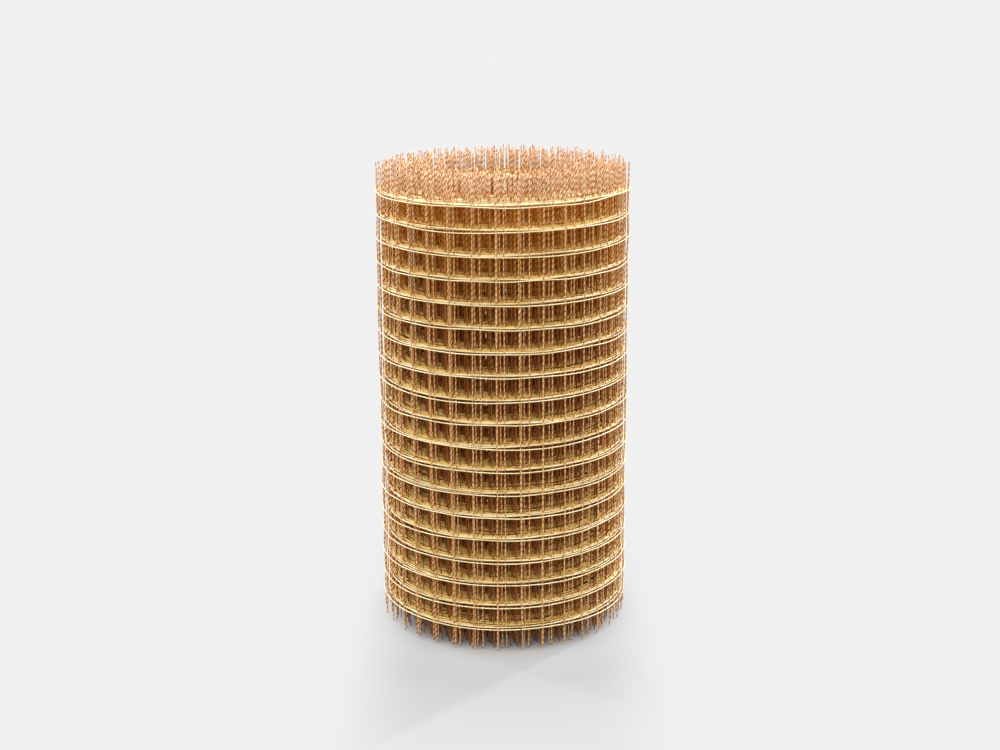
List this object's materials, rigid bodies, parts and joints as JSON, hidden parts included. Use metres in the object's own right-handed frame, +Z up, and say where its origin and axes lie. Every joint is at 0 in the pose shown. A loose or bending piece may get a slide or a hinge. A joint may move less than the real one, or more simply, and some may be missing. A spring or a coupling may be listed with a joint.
{
  "type": "roll of composite rebar mesh",
  "caption": "Roll of square-celled glass-fibre composite reinforcement mesh, stood on its end, wound round an open bore with free bar ends at both faces.",
  "frame": {"origin": "centre of the roll's base, on the surface it stands on", "axes": "+Z up along the roll's axis"},
  "size_m": [0.544, 0.544, 1],
  "materials": {
    "composite": "glass-fibre and resin bars: smooth cream-yellow lengthwise bars, tan cross bars with a red-brown wrap"
  },
  "bodies": {
    "root": {"mesh_roll": "composite"}
  },
  "joints": []
}
